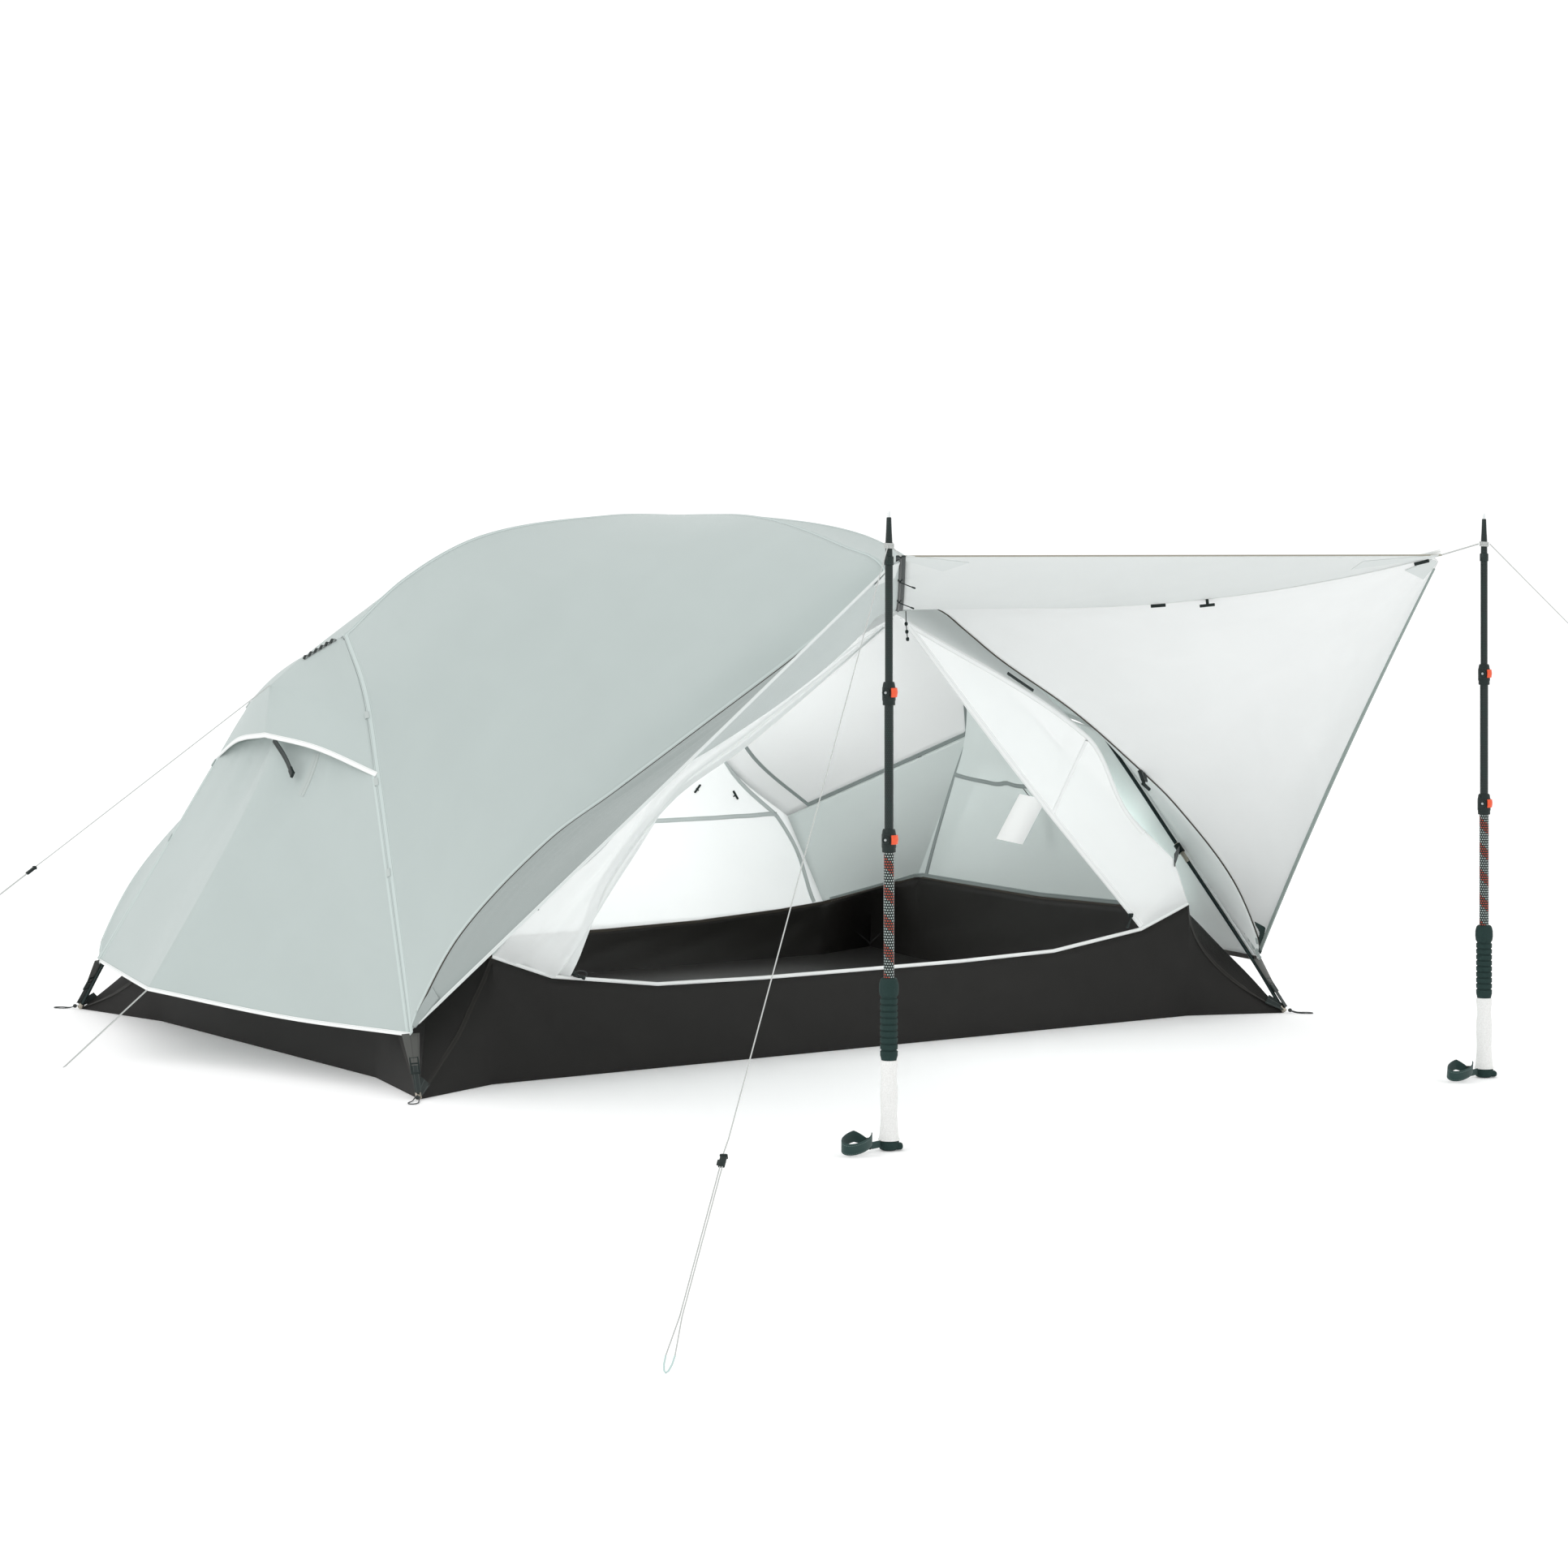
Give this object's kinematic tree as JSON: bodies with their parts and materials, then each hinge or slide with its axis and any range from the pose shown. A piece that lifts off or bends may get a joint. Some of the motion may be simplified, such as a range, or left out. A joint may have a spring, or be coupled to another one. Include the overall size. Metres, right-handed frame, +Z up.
{
  "type": "trekking tent",
  "caption": "Pitched two-person trekking tent: pale fly over a white inner and a dark tub floor, its front door held out as a flat awning by two guyed trekking poles.",
  "frame": {"origin": "on the ground under the middle of the tub floor", "axes": "+Z up; X along the ridge pole; -Y towards the open front door and its awning, so the tent's left end is at -X for someone facing it from the front"},
  "size_m": [3.4955, 4.2459, 1.0989],
  "materials": {
    "fly_cloth": "matte coated ripstop",
    "inner_cloth": "matte, thin",
    "tub_cloth": "matte coated",
    "pole_metal": "anodised satin",
    "moulded_black": "matte",
    "shaft_dark": "satin lacquered carbon",
    "foam_green": "matte foam",
    "grip_pale": "matte cork",
    "lever_red": "semi-gloss",
    "cord_pale": "braided"
  },
  "bodies": {
    "pitched_tent": {"ridge_pole": "pole_metal", "cross_pole": "pole_metal", "leg_pole_front_left": "pole_metal", "leg_pole_front_right": "pole_metal", "leg_pole_back_left": "pole_metal", "leg_pole_back_right": "pole_metal", "hub_left": "moulded_black", "hub_right": "moulded_black", "cross_clip": "moulded_black", "fly_front_left": "fly_cloth", "fly_front_right": "fly_cloth", "fly_back_left": "fly_cloth", "fly_back_right": "fly_cloth", "fly_end_left": "fly_cloth", "fly_end_right": "fly_cloth", "vent_hood_left": "fly_cloth", "vent_hood_right": "fly_cloth", "vestibule_back_left": "fly_cloth", "vestibule_back_right": "fly_cloth", "awning_roof": "fly_cloth", "awning_side_left": "fly_cloth", "awning_side_right": "fly_cloth", "tub_floor": "tub_cloth", "inner_roof": "inner_cloth", "inner_end_left": "inner_cloth", "inner_end_right": "inner_cloth", "inner_back": "inner_cloth", "inner_door_left": "inner_cloth", "inner_door_right": "inner_cloth", "guy_line_left": "cord_pale", "guy_line_pole_left": "cord_pale", "guy_line_pole_right": "cord_pale", "guy_line_hem_left": "cord_pale", "awning_tie_left": "cord_pale", "awning_tie_right": "cord_pale", "tensioner_left": "moulded_black", "tensioner_pole_left": "moulded_black", "tensioner_pole_right": "moulded_black", "grip_left": "grip_pale", "foam_grip_left": "foam_green", "wrist_strap_left": "foam_green", "upper_shaft_left": "shaft_dark", "clamp_lower_left": "moulded_black", "grip_right": "grip_pale", "foam_grip_right": "foam_green", "wrist_strap_right": "foam_green", "upper_shaft_right": "shaft_dark", "clamp_lower_right": "moulded_black"},
    "pole_middle_left": {"middle_shaft_left": "shaft_dark", "clamp_upper_left": "moulded_black"},
    "pole_tip_left": {"tip_section_left": "shaft_dark"},
    "lever_lower_left_part": {"lever_lower_left": "lever_red"},
    "lever_upper_left_part": {"lever_upper_left": "lever_red"},
    "vent_prop_left_part": {"vent_prop_left": "moulded_black"},
    "pole_middle_right": {"middle_shaft_right": "shaft_dark", "clamp_upper_right": "moulded_black"},
    "pole_tip_right": {"tip_section_right": "shaft_dark"},
    "lever_lower_right_part": {"lever_lower_right": "lever_red"},
    "lever_upper_right_part": {"lever_upper_right": "lever_red"},
    "vent_prop_right_part": {"vent_prop_right": "moulded_black"}
  },
  "joints": [
    {"name": "middle_shaft_slide_left", "type": "slide", "parent": "pitched_tent", "child": "pole_middle_left", "axis": [0, 0, 1], "range_m": [-0.2, 0.08]},
    {"name": "tip_slide_left", "type": "slide", "parent": "pole_middle_left", "child": "pole_tip_left", "axis": [0, 0, 1], "range_m": [-0.19, 0.08]},
    {"name": "lower_lever_turn_left", "type": "hinge", "parent": "pitched_tent", "child": "lever_lower_left_part", "pos_m": [-0.68599, -1.73472, 0.5323], "axis": [0, 0, -1], "range_deg": [0, 110]},
    {"name": "upper_lever_turn_left", "type": "hinge", "parent": "pole_middle_left", "child": "lever_upper_left_part", "pos_m": [-0.68562, -1.73369, 0.7843], "axis": [0, 0, -1], "range_deg": [0, 110]},
    {"name": "vent_prop_swing_left", "type": "hinge", "parent": "pitched_tent", "child": "vent_prop_left_part", "pos_m": [-1.008, -0.03, 0.634], "axis": [0, 1, 0], "range_deg": [0, 75]},
    {"name": "middle_shaft_slide_right", "type": "slide", "parent": "pitched_tent", "child": "pole_middle_right", "axis": [0, 0, 1], "range_m": [-0.2, 0.08]},
    {"name": "tip_slide_right", "type": "slide", "parent": "pole_middle_right", "child": "pole_tip_right", "axis": [0, 0, 1], "range_m": [-0.19, 0.08]},
    {"name": "lower_lever_turn_right", "type": "hinge", "parent": "pitched_tent", "child": "lever_lower_right_part", "pos_m": [0.75801, -1.71572, 0.5323], "axis": [0, 0, -1], "range_deg": [0, 110]},
    {"name": "upper_lever_turn_right", "type": "hinge", "parent": "pole_middle_right", "child": "lever_upper_right_part", "pos_m": [0.75838, -1.71469, 0.7843], "axis": [0, 0, -1], "range_deg": [0, 110]},
    {"name": "vent_prop_swing_right", "type": "hinge", "parent": "pitched_tent", "child": "vent_prop_right_part", "pos_m": [1.008, -0.03, 0.634], "axis": [0, -1, 0], "range_deg": [0, 75]}
  ]
}
